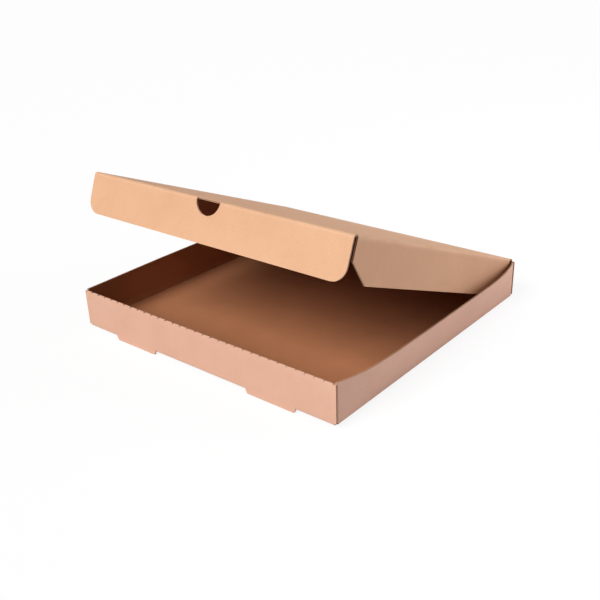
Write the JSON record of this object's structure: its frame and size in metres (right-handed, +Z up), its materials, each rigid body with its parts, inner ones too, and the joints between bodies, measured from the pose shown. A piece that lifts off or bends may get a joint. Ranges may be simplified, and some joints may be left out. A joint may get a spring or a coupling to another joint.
{
  "type": "pizza box",
  "caption": "Shallow square pizza box folded from kraft corrugated board, with a rolled-over front wall, a lid hinged at the back, lid flaps and a half-moon thumb notch.",
  "frame": {"origin": "centre of the base's underside", "axes": "+X along the front wall to the right, +Y from the front wall to the hinge, +Z up"},
  "size_m": [0.345, 0.33, 0.1679],
  "materials": {
    "board": "matt kraft paper over fine flutes"
  },
  "bodies": {
    "tray": {"tray": "board"},
    "lid": {"lid": "board"},
    "front_flap": {"front_flap": "board"},
    "right_flap": {"right_flap": "board"},
    "left_flap": {"left_flap": "board"}
  },
  "joints": [
    {"name": "lid_hinge", "type": "hinge", "parent": "tray", "child": "lid", "pos_m": [0, 0.16425, 0.04305], "axis": [-1, 0, 0], "range_deg": [-22, 158]},
    {"name": "front_flap_hinge", "type": "hinge", "parent": "lid", "child": "front_flap", "pos_m": [0, -0.133, 0.16315], "axis": [-1, 0, 0], "range_deg": [0, 90]},
    {"name": "right_flap_hinge", "type": "hinge", "parent": "lid", "child": "right_flap", "pos_m": [0.16265, 0.16425, 0.04305], "axis": [0, 0.9272, -0.3746], "range_deg": [0, 45]},
    {"name": "left_flap_hinge", "type": "hinge", "parent": "lid", "child": "left_flap", "pos_m": [-0.16265, 0.16425, 0.04305], "axis": [0, -0.9272, 0.3746], "range_deg": [0, 45]}
  ]
}
